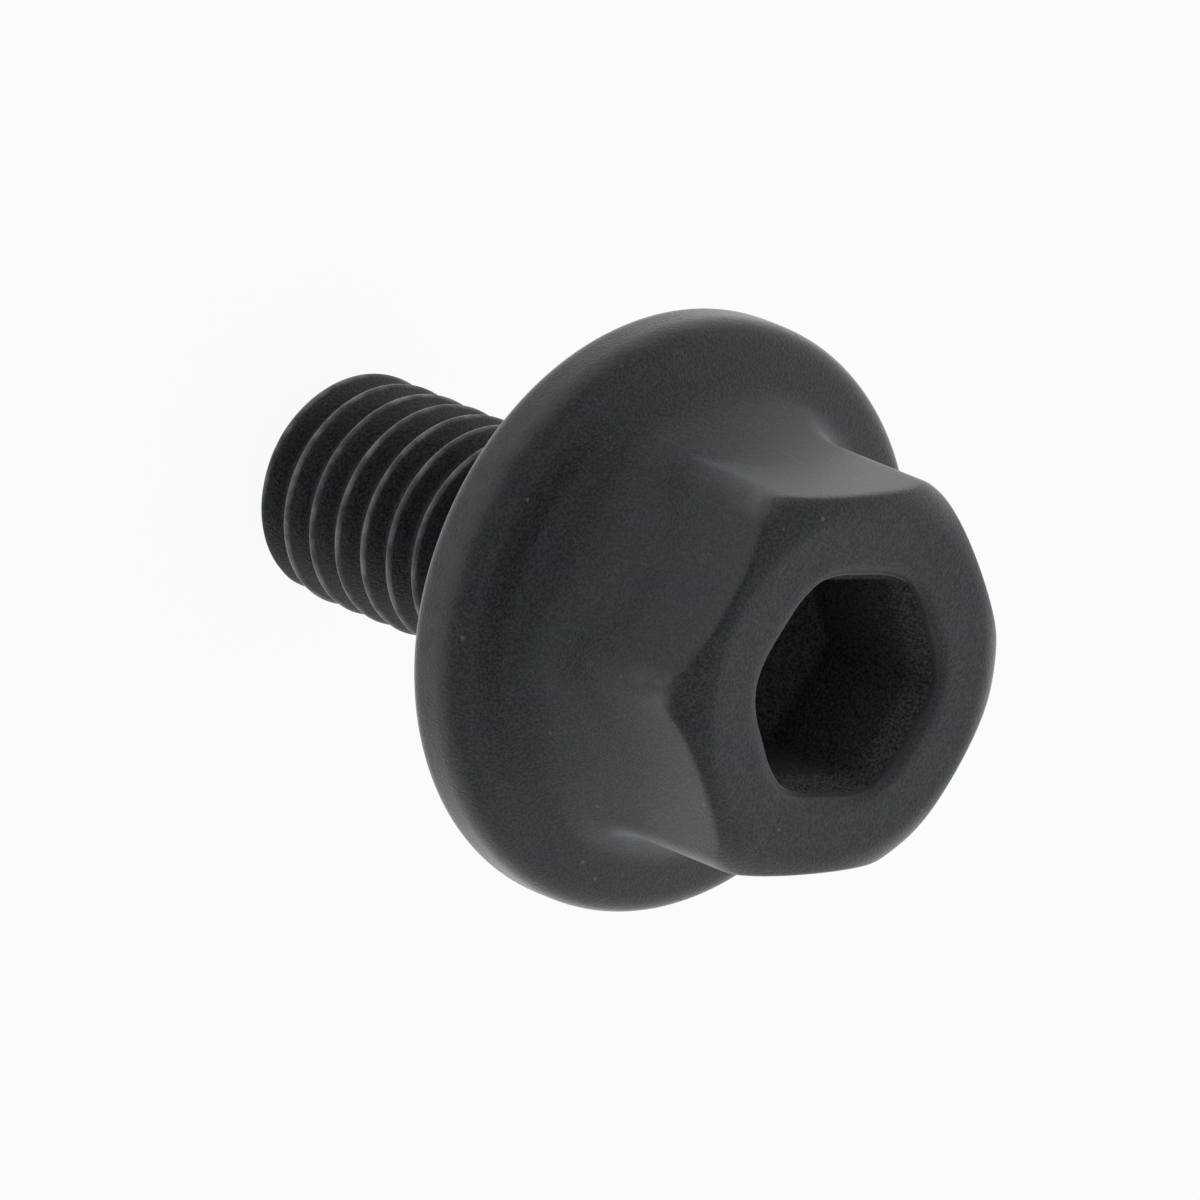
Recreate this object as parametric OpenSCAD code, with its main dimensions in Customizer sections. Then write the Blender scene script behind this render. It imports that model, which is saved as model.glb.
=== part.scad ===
// Saw blade bolt: a cold-headed flange bolt with a hexagon head, a hexagon socket
// in the head and a short left-hand thread. It is one piece of metal.
// The bearing face of the flange is at z = 0, the head is above it and the shank below.

/* [Thread] */
// Major diameter of the thread
thread_d = 6; // [5.5:0.1:6.5]
// Distance from one crest to the next
thread_pitch = 1; // [0.75:0.05:1.25]
// Length of the shank from the bearing face to its end
shank_length = 12; // [8:0.5:30]
// Plain neck between the bearing face and the thread
neck_length = 1.4; // [1:0.1:3]
// Height of the chamfer that leads the thread in
lead_chamfer = 0.65; // [0.4:0.05:1]
// Diameter of the flat end of the shank
end_d = 4.6; // [3.6:0.1:4.6]
// Height of the first whole crest above the shank's end, on the +X side
first_crest = 0.62; // [0:0.02:1]
// Direction of the thread: 1 is right hand, -1 is left hand
thread_hand = -1; // [-1, 1]

/* [Flange] */
// Diameter of the flange
flange_d = 15.7; // [15:0.1:17]
// Height of the rim, measured where its upper radius would meet the side
rim_height = 1.9; // [1.4:0.05:2.4]
// Radius on the rim's lower edge
rim_lower_r = 0.45; // [0.2:0.05:0.6]
// Radius on the rim's upper edge
rim_upper_r = 0.75; // [0.4:0.05:0.8]
// Slope of the flange's upper face, in degrees
flange_slope = 10; // [2:0.5:20]
// Radius between the shank and the bearing face
under_head_r = 0.25; // [0.1:0.05:0.4]

/* [Hexagon] */
// Width across the flats
hex_width = 10; // [9.5:0.1:10.2]
// Radius on the hexagon's corners
hex_corner_r = 1.1; // [0.8:0.05:1.5]
// Width of the hollow root between the flange's upper face and the middle of a flat
root_width = 1.4; // [0.9:0.05:1.6]
// Height to which the root runs up the middle of a flat
root_height = 3; // [1.2:0.1:3.4]
// Height of the top face above the bearing face
head_height = 8.1; // [7:0.1:9]
// Diameter of the top face's level part
top_d = 8.2; // [8.2:0.1:9]
// Width of the crown that rounds the head off, from the top face's level part outwards
crown_width = 1.7; // [1.68:0.02:2.2]
// Height of the crown
crown_height = 1.3; // [0.8:0.05:2]

/* [Socket] */
// Width of the socket across its flats
socket_width = 5.1; // [4:0.1:5.5]
// Depth of the socket's flats below the top face
socket_depth = 4.2; // [3:0.1:5]
// Radius on the edges of the socket's mouth
mouth_r = 0.4; // [0.2:0.05:0.6]
// Turn of the socket against the outer hexagon
socket_turn = -4; // [-30:1:30]

/* [Hidden] */
$fn = 96;

// Steel blackened by oxide
black_oxide = [0.16, 0.165, 0.17];

thread_r = thread_d / 2;
// A 60 degree thread with a crest flat of an eighth and a root flat of a quarter pitch
triangle_height = thread_pitch * sqrt(3) / 2;
core_r = thread_r - triangle_height * 5 / 8;
// The neck has the blank's diameter, which is the thread's pitch diameter
neck_r = thread_r - triangle_height * 3 / 8;
end_r = end_d / 2;

flange_r = flange_d / 2;
flat_r = hex_width / 2;
// Distance from the axis to the centre of a rounded corner's arc
corner_centre = (flat_r - hex_corner_r) / cos(30);
overlap = 0.2;

arc_steps = 10;
function arc(centre, radius, from, to) = ellipse_arc(centre, [radius, radius], from, to);
function ellipse_arc(centre, radii, from, to) = [
    for (i = [0 : arc_steps])
        let (a = from + (to - from) * i / arc_steps)
        centre + [radii[0] * cos(a), radii[1] * sin(a)]
];

// ---- Thread ----

turn_steps = 48;
rows_per_turn = 4;
// Heights of a turn's four rows from its crest: root, crest, crest, root
row_offsets = [for (eighths = [-3, -0.5, 0.5, 3]) eighths * thread_pitch / 8];
runout_turns = 1.2;
runout = runout_turns * thread_pitch;
shank_end_z = -shank_length;
// The threaded body ends inside the neck, this far up in it and this far below its surface
buried_length = 0.4;
buried_depth = 0.05;
buried_z = -neck_length + buried_length;
buried_r = neck_r - buried_depth;
first_crest_z = shank_end_z + first_crest - 2 * thread_pitch;
turns = ceil((buried_z - first_crest_z) / thread_pitch) + 1;
rows = turns * rows_per_turn;
// Rows beyond the body's two ends are pressed into a skin this thick for each mm they overrun
end_skin = 0.004;

function row_z(row, step) =
    let (turn = floor(row / rows_per_turn))
    first_crest_z + thread_pitch * (turn + step / turn_steps) + row_offsets[row % rows_per_turn];

function held_z(z) =
    z < shank_end_z ? shank_end_z + (z - shank_end_z) * end_skin
    : z > buried_z ? buried_z + (z - buried_z) * end_skin
    : z;

function row_r(row, z) =
    let (place = row % rows_per_turn)
    let (full_r = place == 1 || place == 2 ? thread_r : core_r)
    let (cut = min(1, max(0, (-neck_length - overlap - z) / runout)))
    let (cone_r = end_r + (z - shank_end_z) * (thread_r - end_r) / lead_chamfer)
    min(buried_r + (full_r - buried_r) * cut, max(end_r, cone_r));

// The threaded body as rows of points along the helix, closed by a fan at each end
module right_hand_thread() {
    shaft_points = [
        for (step = [0 : turn_steps - 1], row = [0 : rows - 1])
            let (z = row_z(row, step), r = row_r(row, z), a = 360 * step / turn_steps)
            [r * cos(a), r * sin(a), held_z(z)]
    ];
    last = turn_steps - 1;
    function at(step, row) = step * rows + row;
    // One turn on, the same height is four rows lower down the list
    function next_at(step, row) = step < last ? at(step + 1, row) : at(0, row + rows_per_turn);
    side_faces = [
        for (step = [0 : last], row = [0 : rows - 2 - (step < last ? 0 : rows_per_turn)])
            for (face = [
                [at(step, row), next_at(step, row + 1), next_at(step, row)],
                [at(step, row), at(step, row + 1), next_at(step, row + 1)]
            ])
                face
    ];
    low_edge = concat(
        [for (step = [0 : last]) at(step, 0)],
        [for (row = [rows_per_turn : -1 : 1]) at(0, row)]
    );
    high_edge = concat(
        [for (step = [0 : last]) at(step, rows - 1)],
        [for (row = [rows - 2 : -1 : rows - rows_per_turn]) at(last, row)],
        [at(last, rows - 1 - rows_per_turn)]
    );
    low_centre = len(shaft_points);
    high_centre = low_centre + 1;
    low_count = len(low_edge);
    high_count = len(high_edge);
    polyhedron(
        points = concat(shaft_points, [[0, 0, shank_end_z], [0, 0, buried_z]]),
        faces = concat(
            side_faces,
            [for (i = [0 : low_count - 1]) [low_centre, low_edge[i], low_edge[(i + 1) % low_count]]],
            [for (i = [0 : high_count - 1]) [high_centre, high_edge[(i + 1) % high_count], high_edge[i]]]
        )
    );
}

module thread() {
    if (thread_hand < 0) mirror([0, 1, 0]) right_hand_thread();
    else right_hand_thread();
}

// ---- Flange and neck ----

rim_arc_centre = [flange_r - rim_upper_r, rim_height - rim_upper_r];
slope_foot = rim_arc_centre + rim_upper_r * [sin(flange_slope), cos(flange_slope)];
// The circle on the upper face at which the head's root begins
root_foot_r = flat_r + root_width;
root_foot_z = slope_foot[1] + (slope_foot[0] - root_foot_r) * tan(flange_slope);

// Half section of the flange, from the axis out to the rim and back over the upper face
module flange_section() {
    polygon(concat(
        [[0, 0]],
        arc([flange_r - rim_lower_r, rim_lower_r], rim_lower_r, -90, 0),
        arc(rim_arc_centre, rim_upper_r, 0, 90 - flange_slope),
        [[root_foot_r, root_foot_z], [0, root_foot_z]]
    ));
}

// Half section of the neck, with the radius that runs it into the bearing face
module neck_section() {
    polygon(concat(
        [[0, overlap], [neck_r + under_head_r, overlap]],
        arc([neck_r + under_head_r, -under_head_r], under_head_r, 90, 180),
        [[neck_r, -neck_length], [0, -neck_length]]
    ));
}

// ---- Head ----

// Directions of the points round the head, closest at the hexagon's rounded corners
corner_turn = atan2(hex_corner_r * sin(30), corner_centre + hex_corner_r * cos(30));
corner_steps = 4;
flat_steps = 10;
head_directions = [
    for (side = [0 : 5])
        for (turn = concat(
            [for (i = [0 : corner_steps - 1]) corner_turn * i / corner_steps],
            [for (i = [0 : flat_steps - 1]) corner_turn + (60 - 2 * corner_turn) * i / flat_steps],
            [for (i = [0 : corner_steps - 1]) 60 - corner_turn * (1 - i / corner_steps)]
        ))
            60 * side + turn
];

// Distance from the axis to the hexagon's wall in a direction
function wall_r(direction) =
    let (turn = abs((direction + 30) % 60 - 30))
    turn < corner_turn
        ? corner_centre * cos(turn) + sqrt(pow(hex_corner_r, 2) - pow(corner_centre * sin(turn), 2))
        : flat_r / cos(30 - turn);

root_steps = 8;
// How far a piece is sunk into the face that it would otherwise only touch
sink = 0.01;

// Points up the head in one direction: out of the flange, through the hollow root and up the wall.
// The root is a skewed quarter ellipse that leaves the flange's face and runs into the wall.
function head_column(direction) =
    let (wall = wall_r(direction))
    let (width = root_foot_r - wall)
    let (foot = [root_foot_r, root_foot_z - sink])
    let (bend = [wall, root_foot_z + width * tan(flange_slope)])
    let (end = bend + [0, width * root_height / root_width])
    concat(
        [[root_foot_r, root_foot_z - overlap]],
        [
            for (i = [0 : root_steps])
                let (a = 90 * i / root_steps)
                (1 - sin(a)) * foot + (sin(a) + cos(a) - 1) * bend + (1 - cos(a)) * end
        ],
        [[wall, head_height + overlap]]
    );

// Hexagon and root, before the crown is cut
module hexagon_body() {
    points = [
        for (direction = head_directions)
            for (point = head_column(direction))
                [point[0] * cos(direction), point[0] * sin(direction), point[1]]
    ];
    column_count = len(head_directions);
    row_count = len(head_column(0));
    function at(column, row) = (column % column_count) * row_count + row;
    polyhedron(
        points = points,
        faces = concat(
            [
                for (column = [0 : column_count - 1], row = [0 : row_count - 2])
                    for (face = [
                        [at(column, row), at(column + 1, row + 1), at(column + 1, row)],
                        [at(column, row), at(column, row + 1), at(column + 1, row + 1)]
                    ])
                        face
            ],
            [[for (column = [0 : column_count - 1]) at(column, 0)]],
            [[for (column = [column_count - 1 : -1 : 0]) at(column, row_count - 1)]]
        )
    );
}

// Half section that the head is trimmed to: a level top face inside a rounded crown
module crown_section() {
    crown_z = head_height - crown_height;
    polygon(concat(
        [[0, 0], [flange_r, 0], [flange_r, crown_z]],
        ellipse_arc([top_d / 2, crown_z], [crown_width, crown_height], 0, 90),
        [[0, head_height]]
    ));
}

module hexagon_head() {
    intersection() {
        hexagon_body();
        rotate_extrude() crown_section();
    }
}

// Angle of the drill that the socket is started with
drill_angle = 118;

// The space for the key: hexagon, drill point below it and a rounded mouth above
module socket_space() {
    point_height = socket_width / 2 / tan(drill_angle / 2);
    rotate([0, 0, socket_turn]) {
        translate([0, 0, head_height - socket_depth])
            cylinder(r = socket_width / 2 / cos(30), h = socket_depth + overlap, $fn = 6);
        socket_mouth();
    }
    translate([0, 0, head_height - socket_depth - point_height])
        cylinder(r1 = 0, r2 = socket_width / 2, h = point_height);
}

// The mouth's rounded edges, as a stack of six-sided tapers
module socket_mouth() {
    mouth_steps = 5;
    function edge_r(step) = (socket_width / 2 + mouth_r * (1 - cos(90 * step / mouth_steps))) / cos(30);
    function edge_z(step) = head_height - mouth_r * (1 - sin(90 * step / mouth_steps));
    for (step = [0 : mouth_steps - 1])
        translate([0, 0, edge_z(step)])
            cylinder(
                r1 = edge_r(step),
                r2 = edge_r(step + 1),
                h = edge_z(step + 1) - edge_z(step),
                $fn = 6
            );
    translate([0, 0, head_height - sink]) cylinder(r = edge_r(mouth_steps), h = overlap, $fn = 6);
}

module blade_bolt() {
    color(black_oxide)
        difference() {
            union() {
                rotate_extrude() flange_section();
                rotate_extrude() neck_section();
                hexagon_head();
                thread();
            }
            socket_space();
        }
}

blade_bolt();
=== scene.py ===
"""The saw blade bolt's looks: a soft-edged black oxide surface over the solid, its light and its camera."""
import math
from functools import reduce

import bmesh
import bpy
import numpy as np
from mathutils import Matrix, Vector


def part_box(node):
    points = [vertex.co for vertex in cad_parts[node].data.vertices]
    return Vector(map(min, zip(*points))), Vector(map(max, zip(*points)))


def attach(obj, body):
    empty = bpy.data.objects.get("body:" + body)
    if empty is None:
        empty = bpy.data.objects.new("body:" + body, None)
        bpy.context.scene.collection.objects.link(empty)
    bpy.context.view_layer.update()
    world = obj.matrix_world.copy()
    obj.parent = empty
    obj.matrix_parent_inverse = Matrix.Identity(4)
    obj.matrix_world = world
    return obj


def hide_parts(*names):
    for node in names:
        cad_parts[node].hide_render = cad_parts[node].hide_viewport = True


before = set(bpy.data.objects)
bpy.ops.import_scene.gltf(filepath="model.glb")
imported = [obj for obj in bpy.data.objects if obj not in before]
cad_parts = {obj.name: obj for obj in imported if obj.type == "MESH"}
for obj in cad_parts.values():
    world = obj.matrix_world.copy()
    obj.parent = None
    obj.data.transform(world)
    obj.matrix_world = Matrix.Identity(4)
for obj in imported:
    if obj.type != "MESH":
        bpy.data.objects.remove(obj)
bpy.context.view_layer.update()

# Sizes are in millimetres and angles in degrees, and are turned to metres and radians where they are used
MM = 0.001
NODE = "blade_bolt"
low_corner, high_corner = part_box(NODE)
FLANGE_R = high_corner.x / MM
HEAD_TOP = high_corner.z / MM
SHANK_END = -12.0

# Shank and thread. One crest's middle is at height CREST_AT_X where the thread passes +X
THREAD_R = 3.0
PITCH = 1.0
THREAD_ANGLE = 60
CREST_FLAT = PITCH / 8
ROOT_FLAT = PITCH / 4
CREST_AT_X = SHANK_END + 0.62
NECK_R = 2.675
NECK_LENGTH = 1.4
END_R = 2.3
LEAD_CHAMFER = 0.65
RUNOUT = 1.2

# Flange
UNDER_HEAD_R = 0.25
RIM_HEIGHT = 1.9
RIM_LOWER_R = 0.45
RIM_UPPER_R = 0.75
FLANGE_SLOPE = 10

# Hexagon and socket
HEX_FLAT_R = 5.0
HEX_CORNER_R = 1.1
ROOT_WIDTH = 1.4
ROOT_HEIGHT = 3.0
TOP_R = 4.6
CROWN_CENTRE_R = 4.3
CROWN_WIDTH = 1.35
CROWN_HEIGHT = 1.3
SOCKET_FLAT_R = 2.55
SOCKET_CORNER_R = 0.25
SOCKET_DEPTH = 4.2
SOCKET_TURN = -4
MOUTH_FLAT_R = 3.0
MOUTH_CORNER_R = 2.2
MOUTH_DEPTH = 0.9
MOUTH_EDGE = 0.2
DRILL_ANGLE = 118
DRILL_R = 0.98 * SOCKET_FLAT_R

# How far the surface's edges are rounded off
HEAD_SOFTNESS = 0.11
THREAD_SOFTNESS = 0.03

# The two meshes overlap in the neck. The head's reaches down by NECK_LAP past the neck's end. The thread's,
# thinner by LAP_GAP there, reaches up inside it by THREAD_LAP
NECK_LAP = 0.2
THREAD_LAP = 0.3
LAP_GAP = 0.05

# Vertices nearer than this become one
MERGE_DISTANCE = 0.015

# The finish's patterns, each as how many cells go into a metre and its levels of detail
GRAIN = (14000, 2)
PATCHES = (1100, 3)
UNEVENNESS = (1500, 4)
DUST_CELLS = 833

# The wear and the rim's painted highlight are uneven: below the first place of their pattern only the least
# share of them is left, and above the second all of them
UNEVEN_PLACES = (0.36, 0.70)
UNEVEN_LEAST = 0.15

# A speck of dust fades in between these distances from a cell's point, as shares of a cell
DUST_EDGE = (0.06, 0.03)

# Where the finish changes: the distances from the axis, or heights, between which a mask goes from 0 to full
CREST_RUB_R = (THREAD_R - 0.09, THREAD_R - 0.01)
CREST_RUB_Z = (0.4 - NECK_LENGTH, -NECK_LENGTH)
LEAD_RUB_R = (END_R, END_R + 0.3)
LEAD_RUB_Z = (SHANK_END + 0.7, SHANK_END + 0.4)
CORNER_RUB_R = (5.42, 5.6)
CORNER_RUB_FOOT_Z = (5.5, 7.0)
CORNER_RUB_TOP_Z = (7.8, 7.3)
SOCKET_SHADE_R = (MOUTH_FLAT_R + 0.25, MOUTH_FLAT_R + 0.1)
SOCKET_SHADE_FOOT_Z = (1.0, 2.0)
SOCKET_SHADE_TOP_Z = (HEAD_TOP - 0.05, HEAD_TOP - 0.25)
RIM_R = (FLANGE_R - 0.25, FLANGE_R - 0.03)

# How much of the oxide is rubbed off on the thread's lead and the head's corners, where its crests are at 1
LEAD_RUB = 0.35
CORNER_RUB = 0.3

# The finish's colours. A list gives places on a pattern, each with the colour or factor there
PATCH_COLOURS = [(0.32, (0.0100, 0.0135, 0.0215)), (0.44, (0.0175, 0.0170, 0.0190)),
                 (0.56, (0.0115, 0.0165, 0.0175)), (0.68, (0.0205, 0.0205, 0.0250))]
GRAIN_FACTORS = [(0.38, (0.15, 0.15, 0.15)), (0.62, (1.85, 1.85, 1.85))]
# The grain of the socket's dull material, a painted shade of the recess
SOCKET_COLOURS = [(0.38, (0.020, 0.021, 0.021)), (0.62, (0.075, 0.076, 0.076))]
WORN_COLOUR = (0.20, 0.205, 0.21)
DUST_COLOUR = (0.10, 0.105, 0.105)
# The socket mouth's dull grey, a painted shade of the recess
SOCKET_SHADE_COLOUR = (0.030, 0.030, 0.030)
# The rim's paler colour, a painted highlight
RIM_HIGHLIGHT_COLOUR = (0.030, 0.031, 0.034)
COOL_TINT = (0.88, 0.95, 1, 1)

OXIDE_ROUGHNESS = 0.39
RIM_ROUGHNESS = 0.27
PUNCHED_ROUGHNESS = 0.9
GRAIN_HEIGHT = 0.02

# The photograph's view, in its own frame of 1200 pixels
IMAGE_PIXELS = 1200
PIXELS_PER_MM = 39.3
VIEW_AZIMUTH = -20.5
VIEW_ELEVATION = 45
VIEW_DISTANCE = 1000
VIEW_ROLL = -112.05
BEARING_PIXEL = (640.2, 601.7)
SENSOR_WIDTH = 36

# The light tent: its level, its level at the open front that the photograph was taken from, and the cosine
# of the angle to that front at which the fade between the two begins
TENT_LIGHT = 0.95
FRONT_LIGHT = 0.45
FADE_START = -0.3

# The floor, and how white the camera sees it: at 1 it would show no shadow
FLOOR_HALF = 600
FLOOR_COLOUR = (0.85, 0.85, 0.85, 1)
FLOOR_WHITENESS = 0.93


# ---- Half sections ----

def point_on(centre, radius, angle):
    """The point of a circle at an angle."""
    return (centre[0] + radius * math.cos(math.radians(angle)),
            centre[1] + radius * math.sin(math.radians(angle)))


def arc(centre, radius, start, end, steps, height=None):
    """Points along an arc, without its first. With a height it is an ellipse's, of that half height."""
    stretch = 1 if height is None else height / radius
    angles = [start + (end - start) * i / steps for i in range(1, steps + 1)]
    return [(r, centre[1] + (z - centre[1]) * stretch)
            for r, z in (point_on(centre, radius, angle) for angle in angles)]


def bend(start, corner, end, steps):
    """Points along a skewed quarter ellipse, without its first, that sets off towards a corner."""
    points = []
    for i in range(1, steps + 1):
        across, up = math.sin(math.pi / 2 * i / steps), math.cos(math.pi / 2 * i / steps)
        points.append(tuple((1 - across) * a + (across + up - 1) * b + (1 - up) * c
                            for a, b, c in zip(start, corner, end)))
    return points


def line(start, end, steps):
    """Points along a line, without its first, closer together near its two ends."""
    shares = [(1 - math.cos(math.pi * i / steps)) / 2 for i in range(1, steps + 1)]
    return [(start[0] + (end[0] - start[0]) * share, start[1] + (end[1] - start[1]) * share)
            for share in shares]


def softened(path, softness):
    """The path with its edges rounded off: each point is the weighted mean of those within reach along it."""
    samples = 6
    reach = 3 * samples
    path = np.array(path, float)
    along = np.concatenate([[0], np.cumsum(np.linalg.norm(np.diff(path, axis=0), axis=1))])
    step = softness / samples
    even = np.arange(0, along[-1] + step, step)
    weights = np.exp(-0.5 * (np.arange(-reach, reach + 1) / samples) ** 2)
    weights /= weights.sum()
    result = np.empty_like(path)
    for k in (0, 1):
        padded = np.pad(np.interp(even, along, path[:, k]), reach, mode="reflect", reflect_type="odd")
        result[:, k] = np.interp(along, even, np.convolve(padded, weights, mode="valid"))
    return result


def polygon_r(azimuth, flat_r, corner_r):
    """Distance from the axis to a hexagon with rounded corners, one of them on +X."""
    off_corner = abs((azimuth + 30) % 60 - 30)
    corner_centre = (flat_r - corner_r) / math.cos(math.radians(30))
    tangent = point_on((corner_centre, 0), corner_r, 30)
    if off_corner > math.degrees(math.atan2(tangent[1], tangent[0])):
        return flat_r / math.cos(math.radians(30 - off_corner))
    sideways = corner_centre * math.sin(math.radians(off_corner))
    return corner_centre * math.cos(math.radians(off_corner)) + math.sqrt(corner_r ** 2 - sideways ** 2)


# The flange's upper face runs from the rim's arc up a slope to the circle where the head's root begins
SLOPE = math.tan(math.radians(FLANGE_SLOPE))
RIM_CENTRE = (FLANGE_R - RIM_UPPER_R, RIM_HEIGHT - RIM_UPPER_R)
SLOPE_FOOT = point_on(RIM_CENTRE, RIM_UPPER_R, 90 - FLANGE_SLOPE)
ROOT_R = HEX_FLAT_R + ROOT_WIDTH
ROOT_Z = SLOPE_FOOT[1] + (SLOPE_FOOT[0] - ROOT_R) * SLOPE

# The crown's arc ends where it meets the flat top, in a faint edge
CROWN_END = math.degrees(math.acos((TOP_R - CROWN_CENTRE_R) / CROWN_WIDTH))
CROWN_CENTRE = (CROWN_CENTRE_R, HEAD_TOP - CROWN_HEIGHT * math.sin(math.radians(CROWN_END)))

SOCKET_FLOOR = HEAD_TOP - SOCKET_DEPTH
SOCKET_POINT = SOCKET_FLOOR - SOCKET_FLAT_R / math.tan(math.radians(DRILL_ANGLE / 2))


def head_path(azimuth):
    """Half section of neck, flange, hexagon and socket at one azimuth."""
    wall = polygon_r(azimuth, HEX_FLAT_R, HEX_CORNER_R)
    root_width = ROOT_R - wall
    root_corner = (wall, ROOT_Z + root_width * SLOPE)
    root_top = (wall, root_corner[1] + root_width * ROOT_HEIGHT / ROOT_WIDTH)
    crown_start = math.degrees(math.acos((wall - CROWN_CENTRE_R) / CROWN_WIDTH))
    crown_foot = arc(CROWN_CENTRE, CROWN_WIDTH, 0, crown_start, 1, CROWN_HEIGHT)[-1]
    mouth = polygon_r(azimuth - SOCKET_TURN, MOUTH_FLAT_R, MOUTH_CORNER_R)
    socket = polygon_r(azimuth - SOCKET_TURN, SOCKET_FLAT_R, SOCKET_CORNER_R)
    mouth_foot = (mouth + (socket - mouth) * MOUTH_EDGE / MOUTH_DEPTH, HEAD_TOP - MOUTH_EDGE)
    neck_foot = -NECK_LENGTH - NECK_LAP
    path = [(0, neck_foot)]
    path += line(path[-1], (NECK_R, neck_foot), 3)
    path += line(path[-1], (NECK_R, -UNDER_HEAD_R), 4)
    path += arc((NECK_R + UNDER_HEAD_R, -UNDER_HEAD_R), UNDER_HEAD_R, 180, 90, 5)
    path += line(path[-1], (FLANGE_R - RIM_LOWER_R, 0), 8)
    path += arc((FLANGE_R - RIM_LOWER_R, RIM_LOWER_R), RIM_LOWER_R, -90, 0, 7)
    path += line(path[-1], (FLANGE_R, RIM_CENTRE[1]), 5)
    path += arc(RIM_CENTRE, RIM_UPPER_R, 0, 90 - FLANGE_SLOPE, 10)
    path += line(path[-1], (ROOT_R, ROOT_Z), 7)
    path += bend(path[-1], root_corner, root_top, 18)
    path += line(path[-1], crown_foot, 16)
    path += arc(CROWN_CENTRE, CROWN_WIDTH, crown_start, CROWN_END, 16, CROWN_HEIGHT)
    path += line(path[-1], (mouth + MOUTH_EDGE, HEAD_TOP), 8)
    path += bend(path[-1], (mouth, HEAD_TOP), mouth_foot, 7)
    path += line(path[-1], (socket, HEAD_TOP - MOUTH_DEPTH), 5)
    path += line(path[-1], (socket, SOCKET_FLOOR), 18)
    path += line(path[-1], (DRILL_R, SOCKET_FLOOR), 4)
    path += line(path[-1], (0, SOCKET_POINT), 8)
    return softened(path, HEAD_SOFTNESS)


def thread_depth(from_crest):
    """How far the thread's surface lies below its crest, at a distance along the axis from that."""
    slope = 1 / math.tan(math.radians(THREAD_ANGLE / 2))
    deepest = (PITCH - CREST_FLAT - ROOT_FLAT) / 2 * slope
    return min(deepest, max(0, (abs(from_crest) - CREST_FLAT / 2) * slope))


def thread_path(azimuth, rows_per_turn, turns):
    """Half section of the threaded shank at one azimuth, from its end face's middle up into the neck."""
    crest_z = CREST_AT_X - PITCH * azimuth / 360
    turns_below = 2.5
    least_share = 0.004
    lap_z = -NECK_LENGTH + THREAD_LAP
    lap_r = NECK_R - LAP_GAP
    path = []
    for row in range(rows_per_turn * turns):
        turn = row / rows_per_turn
        along = crest_z + PITCH * (turn - turns_below)
        from_crest = PITCH * ((turn - turns_below + 0.5) % 1 - 0.5)
        cut = min(1, max(0, (-NECK_LENGTH - along) / RUNOUT))
        radius = lap_r + (THREAD_R - thread_depth(from_crest) - lap_r) * cut
        cone = END_R + (along - SHANK_END) * (THREAD_R - END_R) / LEAD_CHAMFER
        radius = min(radius, max(END_R, cone))
        # Rows that lie past an end run inwards over its face, almost to the middle
        inwards = max(0, SHANK_END - along, along - lap_z) / PITCH
        path.append((radius * max(least_share, 1 - inwards), min(lap_z, max(SHANK_END, along))))
    return softened(path, THREAD_SOFTNESS)


# ---- Meshes ----

def closed_surface(name, azimuths, paths, twist=0):
    """A closed mesh over half sections round the axis. The last joins the first, twist rows further on."""
    bm = bmesh.new()
    grid = []
    for azimuth, path in zip(azimuths, paths):
        x, y = math.cos(math.radians(azimuth)), math.sin(math.radians(azimuth))
        grid.append([bm.verts.new((r * x * MM, r * y * MM, z * MM)) for r, z in path])
    for column, (here, there) in enumerate(zip(grid, grid[1:] + grid[:1])):
        shift = twist if column == len(grid) - 1 else 0
        for row in range(len(here) - 1 - shift):
            bm.faces.new((here[row], there[row + shift], there[row + 1 + shift], here[row + 1]))
    bmesh.ops.remove_doubles(bm, verts=bm.verts, dist=MERGE_DISTANCE * MM)
    bmesh.ops.holes_fill(bm, edges=[e for e in bm.edges if e.is_boundary], sides=0)
    bmesh.ops.recalc_face_normals(bm, faces=bm.faces)
    mesh = bpy.data.meshes.new(name)
    bm.to_mesh(mesh)
    bm.free()
    mesh.shade_smooth()
    piece = bpy.data.objects.new(name, mesh)
    bpy.context.scene.collection.objects.link(piece)
    return piece


def head_azimuths():
    """Azimuths round the axis, close together at the corners of hexagon and socket and wider on the flats."""
    dense_from, dense_to = -7, 6
    dense = np.linspace(dense_from, dense_to, 20, endpoint=False)
    wide = np.linspace(dense_to, dense_from + 60, 24, endpoint=False)
    return [60 * side + azimuth for side in range(6) for azimuth in np.concatenate([dense, wide])]


def make_head():
    """Neck, flange, hexagon and socket, in one mesh."""
    azimuths = head_azimuths()
    return closed_surface("bolt_head", azimuths, [head_path(azimuth) for azimuth in azimuths])


def make_thread():
    """The threaded shank. Its rows follow the left-hand helix, so they meet the first column one turn on."""
    rows_per_turn = 18
    columns = 144
    turns = math.ceil(-SHANK_END / PITCH) + 3
    azimuths = [-360 * i / columns for i in range(columns)]
    paths = [thread_path(azimuth, rows_per_turn, turns) for azimuth in azimuths]
    return closed_surface("bolt_thread", azimuths, paths, twist=rows_per_turn)


# ---- Nodes ----

def new_material(name):
    """A material, its node tree and its shader."""
    material = bpy.data.materials.new(name)
    material.use_nodes = True
    return material, material.node_tree, material.node_tree.nodes["Principled BSDF"]


def set_inputs(node, values):
    """Sets a node's own sockets, by name."""
    for name, value in values.items():
        node.inputs[name].default_value = value


def feed(tree, socket, value):
    """Links an output to a socket, or sets the socket to a number or a colour."""
    if isinstance(value, bpy.types.NodeSocket):
        tree.links.new(value, socket)
    else:
        socket.default_value = (*value, 1) if isinstance(value, tuple) else value


def object_place(tree):
    """A point's place in the object's own frame, in metres."""
    return tree.nodes.new("ShaderNodeTexCoord").outputs["Object"]


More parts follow.
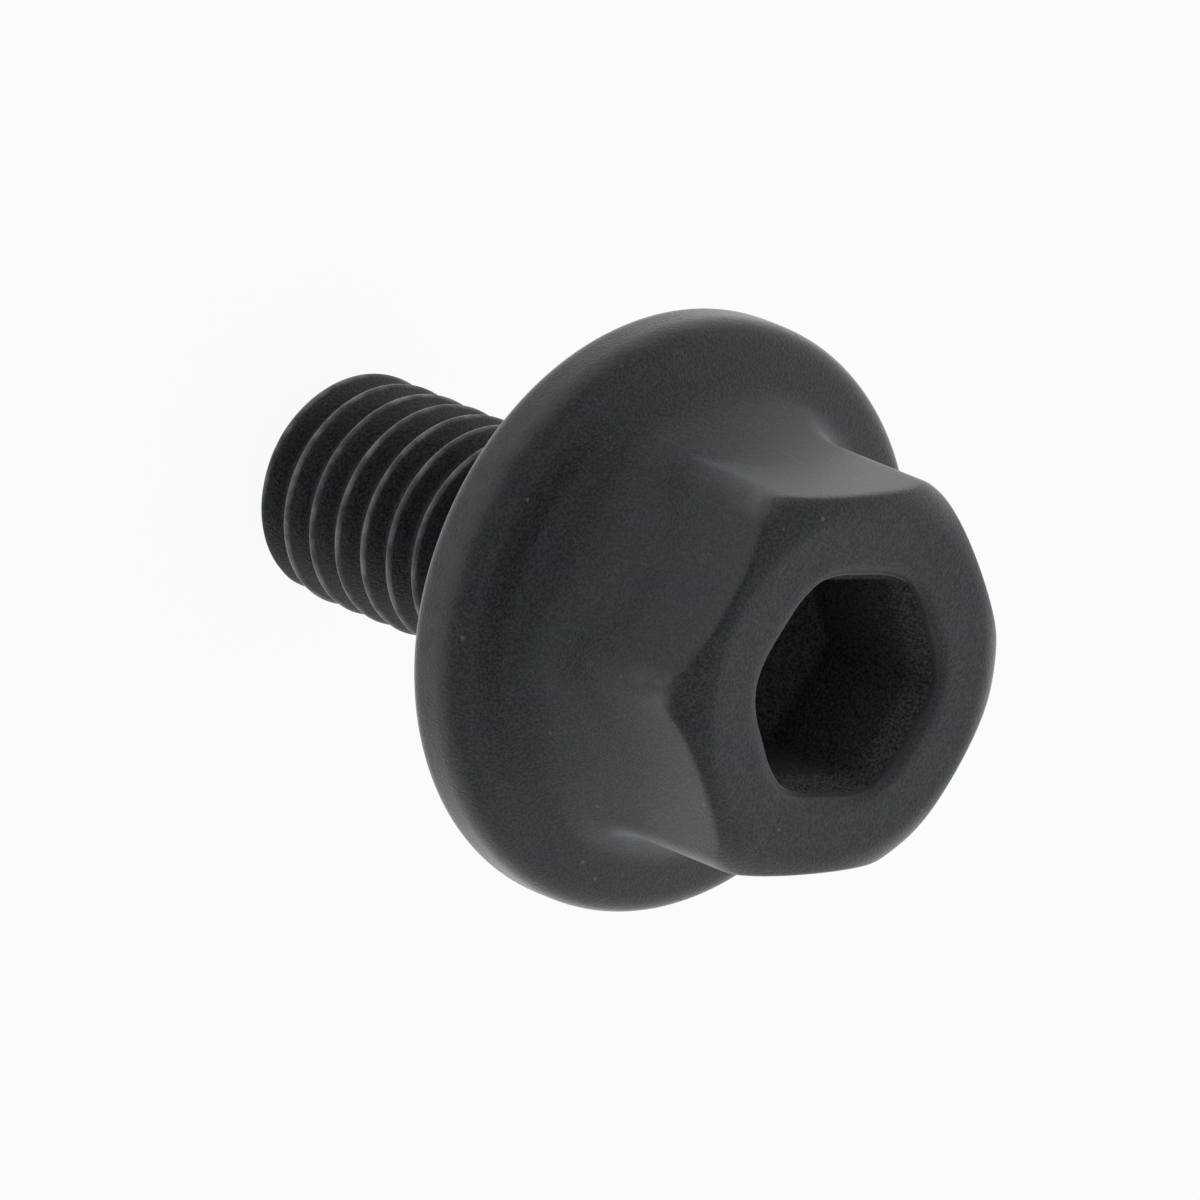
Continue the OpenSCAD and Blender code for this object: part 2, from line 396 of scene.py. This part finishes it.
def axis_and_height(tree, place):
    """A place's distance from the axis and its height, in metres."""
    apart = tree.nodes.new("ShaderNodeSeparateXYZ")
    level = tree.nodes.new("ShaderNodeCombineXYZ")
    reach = tree.nodes.new("ShaderNodeVectorMath")
    reach.operation = "LENGTH"
    tree.links.new(place, apart.inputs["Vector"])
    for side in ("X", "Y"):
        tree.links.new(apart.outputs[side], level.inputs[side])
    tree.links.new(level.outputs["Vector"], reach.inputs[0])
    return reach.outputs["Value"], apart.outputs["Z"]


def noise(tree, place, scale, detail):
    """A noise pattern over the object, from 0 to 1."""
    pattern = tree.nodes.new("ShaderNodeTexNoise")
    set_inputs(pattern, {"Scale": scale, "Detail": detail})
    tree.links.new(place, pattern.inputs["Vector"])
    return pattern.outputs["Fac"]


def ramp(tree, value, stops):
    """Colours that follow a value, given as pairs of place and colour."""
    colours = tree.nodes.new("ShaderNodeValToRGB")
    elements = colours.color_ramp.elements
    while len(elements) < len(stops):
        elements.new(0.5)
    for element, (position, colour) in zip(elements, stops):
        element.position = position
        element.color = (*colour, 1)
    tree.links.new(value, colours.inputs["Fac"])
    return colours.outputs["Color"]


def mapped(tree, value, start, end, low=0, high=1):
    """A value that runs smoothly from low to high as another runs from start to end."""
    node = tree.nodes.new("ShaderNodeMapRange")
    node.interpolation_type = "SMOOTHSTEP"
    set_inputs(node, {"From Min": start, "From Max": end, "To Min": low, "To Max": high})
    tree.links.new(value, node.inputs["Value"])
    return node.outputs["Result"]


def mask(tree, value, limits, full=1):
    """A mask that goes from 0 to full as a distance or height goes from one limit to the other."""
    return mapped(tree, value, limits[0] * MM, limits[1] * MM, 0, full)


def combined(tree, operation, a, b):
    """The result of a mathematical operation on two values, each an output or a number."""
    node = tree.nodes.new("ShaderNodeMath")
    node.operation = operation
    feed(tree, node.inputs[0], a)
    feed(tree, node.inputs[1], b)
    return node.outputs["Value"]


def product(tree, *values):
    """The values' product: for masks, full where each of them is."""
    return reduce(lambda a, b: combined(tree, "MULTIPLY", a, b), values)


def largest(tree, *values):
    """The largest of the values: for masks, full where any of them is."""
    return reduce(lambda a, b: combined(tree, "MAXIMUM", a, b), values)


def mixed(tree, share, a, b, blend="MIX"):
    """Colour a with colour b laid over it by a share. Each may be an output, or a plain number or colour."""
    mix = tree.nodes.new("ShaderNodeMix")
    mix.data_type = "RGBA"
    mix.blend_type = blend
    for name, value in (("Factor", share), ("A", a), ("B", b)):
        feed(tree, mix.inputs[name], value)
    return mix.outputs["Result"]


# ---- Materials ----

def black_oxide():
    """Steel blackened by oxide: dark, grainy, faintly mottled, rubbed on crests and corners, and dusty."""
    material, tree, shader = new_material("black_oxide")
    place = object_place(tree)
    from_axis, height = axis_and_height(tree, place)
    uneven = mapped(tree, noise(tree, place, *UNEVENNESS), *UNEVEN_PLACES, UNEVEN_LEAST, 1)

    # Bluish and greenish patches under a fine grain
    grain = noise(tree, place, *GRAIN)
    colour = ramp(tree, noise(tree, place, *PATCHES), PATCH_COLOURS)
    colour = mixed(tree, 1.0, colour, ramp(tree, grain, GRAIN_FACTORS), "MULTIPLY")

    # The thread's crests are rubbed, unevenly, to a paler grey, and its lead and the head's corners a little
    crest = product(tree, mask(tree, from_axis, CREST_RUB_R), mask(tree, height, CREST_RUB_Z))
    lead = product(tree, mask(tree, from_axis, LEAD_RUB_R, LEAD_RUB), mask(tree, height, LEAD_RUB_Z))
    corner = product(tree, mask(tree, from_axis, CORNER_RUB_R, CORNER_RUB),
                     mask(tree, height, CORNER_RUB_FOOT_Z), mask(tree, height, CORNER_RUB_TOP_Z))
    colour = mixed(tree, product(tree, largest(tree, crest, lead, corner), uneven), colour, WORN_COLOUR)

    # Dust: a pale speck wherever a cell's point lies at the surface
    cells = tree.nodes.new("ShaderNodeTexVoronoi")
    set_inputs(cells, {"Scale": DUST_CELLS})
    tree.links.new(place, cells.inputs["Vector"])
    dust = mapped(tree, cells.outputs["Distance"], *DUST_EDGE)
    colour = mixed(tree, dust, colour, DUST_COLOUR)

    # Inside the socket's mouth the steel is rough, as the punch left it, and dull grey: a painted shade.
    # The flange's rim is smoother than the rest, and paler: a painted highlight
    mouth_shade = product(tree, mask(tree, from_axis, SOCKET_SHADE_R),
                   mask(tree, height, SOCKET_SHADE_TOP_Z), mask(tree, height, SOCKET_SHADE_FOOT_Z))
    rim = mask(tree, from_axis, RIM_R)
    colour = mixed(tree, mouth_shade, colour, SOCKET_SHADE_COLOUR)
    colour = mixed(tree, product(tree, rim, uneven), colour, RIM_HIGHLIGHT_COLOUR)
    roughness = largest(tree, mapped(tree, rim, 0, 1, OXIDE_ROUGHNESS, RIM_ROUGHNESS),
                        mapped(tree, mouth_shade, 0, 1, 0, PUNCHED_ROUGHNESS))

    bump = tree.nodes.new("ShaderNodeBump")
    set_inputs(bump, {"Strength": 0.9, "Distance": GRAIN_HEIGHT * MM})
    tree.links.new(grain, bump.inputs["Height"])

    tree.links.new(colour, shader.inputs["Base Color"])
    tree.links.new(roughness, shader.inputs["Roughness"])
    tree.links.new(bump.outputs["Normal"], shader.inputs["Normal"])
    set_inputs(shader, {"Metallic": 0, "IOR": 1.5, "Specular Tint": COOL_TINT,
                        "Sheen Weight": 0.7, "Sheen Roughness": 0.3, "Sheen Tint": COOL_TINT})
    return material


def socket_shade_material():
    """The dull black inside the socket, a painted shade of the recess, on steel the punch left rough."""
    material, tree, shader = new_material("socket_shade_material")
    colour = ramp(tree, noise(tree, object_place(tree), *GRAIN), SOCKET_COLOURS)
    tree.links.new(colour, shader.inputs["Base Color"])
    set_inputs(shader, {"Roughness": PUNCHED_ROUGHNESS, "IOR": 1.2})
    return material


def lay_socket_shade(piece):
    """The socket's painted shade, the second material, goes on its faces from where the mouth's grey is full.
    """
    piece.data.materials.append(socket_shade_material())
    for face in piece.data.polygons:
        x, y, z = face.center / MM
        in_socket = math.hypot(x, y) < TOP_R and SOCKET_POINT < z < SOCKET_SHADE_TOP_Z[1]
        face.material_index = int(in_socket)


def paper_floor():
    """A pale floor: near white to the camera, with the bolt's soft shadow, and white to what mirrors it."""
    material, tree, shader = new_material("paper_floor")
    set_inputs(shader, {"Base Color": FLOOR_COLOUR, "Roughness": 0.9})
    ray = tree.nodes.new("ShaderNodeLightPath").outputs
    seen = combined(tree, "MULTIPLY", ray["Is Camera Ray"], FLOOR_WHITENESS)
    mirrored = largest(tree, ray["Is Glossy Ray"], ray["Is Transmission Ray"])
    white = tree.nodes.new("ShaderNodeEmission")
    mix = tree.nodes.new("ShaderNodeMixShader")
    tree.links.new(largest(tree, seen, mirrored), mix.inputs["Fac"])
    tree.links.new(shader.outputs["BSDF"], mix.inputs[1])
    tree.links.new(white.outputs["Emission"], mix.inputs[2])
    tree.links.new(mix.outputs["Shader"], tree.nodes["Material Output"].inputs["Surface"])
    return material


# ---- Stage ----

def make_floor():
    """A square of paper at the height of the bolt's lowest point."""
    half, z = FLOOR_HALF * MM, low_corner.z
    corners = [(-half, -half, z), (half, -half, z), (half, half, z), (-half, half, z)]
    mesh = bpy.data.meshes.new("floor")
    mesh.from_pydata(corners, [], [(0, 1, 2, 3)])
    mesh.materials.append(paper_floor())
    floor = bpy.data.objects.new("floor", mesh)
    bpy.context.scene.collection.objects.link(floor)


def direction(azimuth, elevation):
    """The unit vector that points to an azimuth and an elevation."""
    level = math.cos(math.radians(elevation))
    return Vector((level * math.cos(math.radians(azimuth)), level * math.sin(math.radians(azimuth)),
                   math.sin(math.radians(elevation))))


def make_world():
    """A soft pale light from all round, like a light tent's, that fades towards the open front."""
    world = bpy.data.worlds.new("studio")
    world.use_nodes = True
    tree = world.node_tree
    place = tree.nodes.new("ShaderNodeTexCoord")
    facing = tree.nodes.new("ShaderNodeVectorMath")
    facing.operation = "DOT_PRODUCT"
    facing.inputs[1].default_value = direction(VIEW_AZIMUTH, VIEW_ELEVATION)
    tree.links.new(place.outputs["Generated"], facing.inputs[0])
    level = mapped(tree, facing.outputs["Value"], FADE_START, 1, TENT_LIGHT, FRONT_LIGHT)
    light = tree.nodes["Background"]
    set_inputs(light, {"Color": (1, 1, 1, 1)})
    tree.links.new(level, light.inputs["Strength"])
    bpy.context.scene.world = world


def make_camera():
    """The camera looks down on the head from one side, rolled so that the axis lies as in the photograph."""
    towards = direction(VIEW_AZIMUTH, VIEW_ELEVATION)
    level_right = direction(VIEW_AZIMUTH + 90, 0)
    level_up = towards.cross(level_right)
    roll = math.radians(VIEW_ROLL)
    right = level_right * math.cos(roll) - level_up * math.sin(roll)
    up = level_right * math.sin(roll) + level_up * math.cos(roll)
    middle = IMAGE_PIXELS / 2
    target = (right * (middle - BEARING_PIXEL[0]) + up * (BEARING_PIXEL[1] - middle)) / PIXELS_PER_MM * MM
    place = target + towards * VIEW_DISTANCE * MM
    data = bpy.data.cameras.new("camera")
    data.sensor_width = SENSOR_WIDTH
    data.lens = SENSOR_WIDTH * VIEW_DISTANCE * PIXELS_PER_MM / IMAGE_PIXELS
    camera = bpy.data.objects.new("camera", data)
    bpy.context.scene.collection.objects.link(camera)
    turn = Matrix((right, up, towards)).transposed().to_4x4()
    camera.matrix_world = Matrix.Translation(place) @ turn
    bpy.context.scene.camera = camera


head = make_head()
thread = make_thread()
oxide = black_oxide()
for piece in (head, thread):
    piece.data.materials.append(oxide)
    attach(piece, "root")
    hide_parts(NODE)
lay_socket_shade(head)
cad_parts[NODE].data.materials.clear()
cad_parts[NODE].data.materials.append(oxide)

make_floor()
make_world()
make_camera()
bpy.context.scene.view_settings.view_transform = "Standard"
